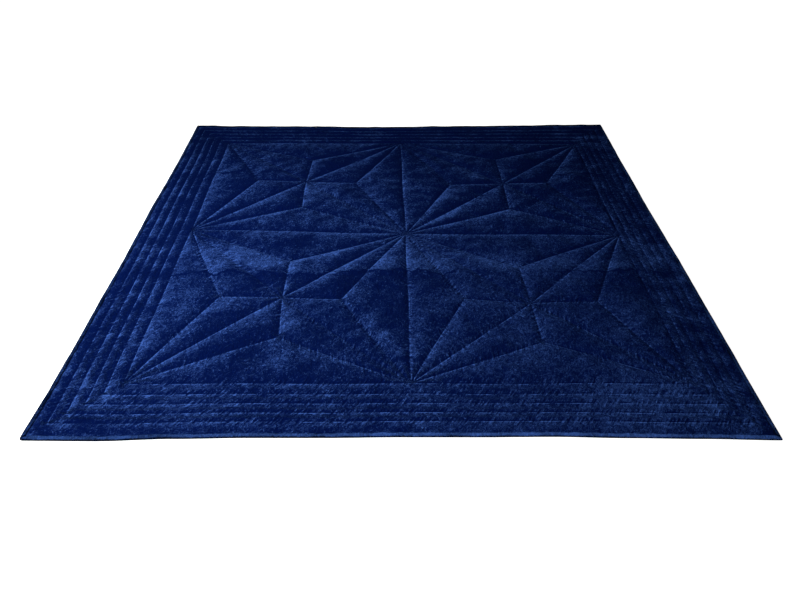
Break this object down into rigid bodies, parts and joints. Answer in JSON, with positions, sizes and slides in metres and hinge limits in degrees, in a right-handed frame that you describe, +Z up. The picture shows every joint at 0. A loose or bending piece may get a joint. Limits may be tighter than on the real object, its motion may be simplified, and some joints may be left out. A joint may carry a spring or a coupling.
{
  "type": "quilt",
  "caption": "Square velvet quilt laid flat, its field sewn with pointed stars inside parallel border channels and bound at the edge.",
  "frame": {"origin": "on the surface it lies on, under the middle of the quilt", "axes": "+Z up through the thickness, +X across to the right, +Y away from the near edge"},
  "size_m": [2.29, 2.29, 0.0208],
  "materials": {
    "velvet": "deep navy crushed velvet with a soft blue sheen",
    "binding_velvet": "navy velvet strip with a brighter blue sheen"
  },
  "bodies": {
    "root": {"quilted_body": "velvet", "binding_near": "binding_velvet", "binding_right": "binding_velvet", "binding_far": "binding_velvet", "binding_left": "binding_velvet"}
  },
  "joints": []
}
